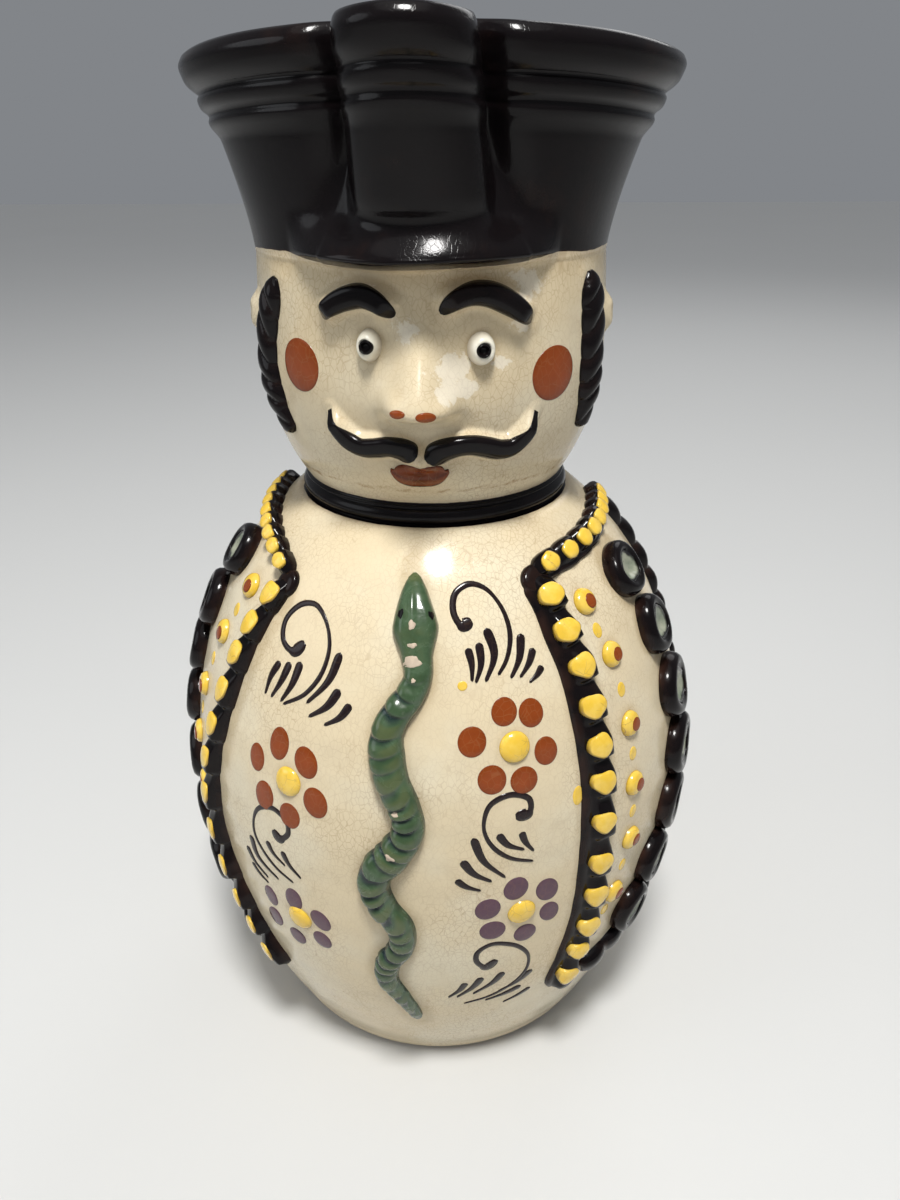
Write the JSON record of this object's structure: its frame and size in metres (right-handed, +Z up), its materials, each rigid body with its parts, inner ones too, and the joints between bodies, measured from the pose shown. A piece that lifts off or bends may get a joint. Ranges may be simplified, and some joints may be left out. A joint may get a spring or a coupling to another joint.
{
  "type": "figural jug",
  "caption": "Figural pottery jug shaped as a moustached hussar, with a tall spouted hat as its mouth, relief snake, corded jacket border, pressed buttons, painted flowers and a strap handle.",
  "frame": {"origin": "centre of the flat underside, on the jug's turned axis", "axes": "+Z up along the turned axis, -Y towards the figure's face and pouring spout, +X to the figure's left hand"},
  "size_m": [0.1665, 0.1818, 0.302],
  "materials": {
    "cream_glaze": "glossy crackled cream lead glaze over earthenware, painted in black, yellow, green and brown"
  },
  "bodies": {
    "root": {"jug": "cream_glaze"}
  },
  "joints": []
}
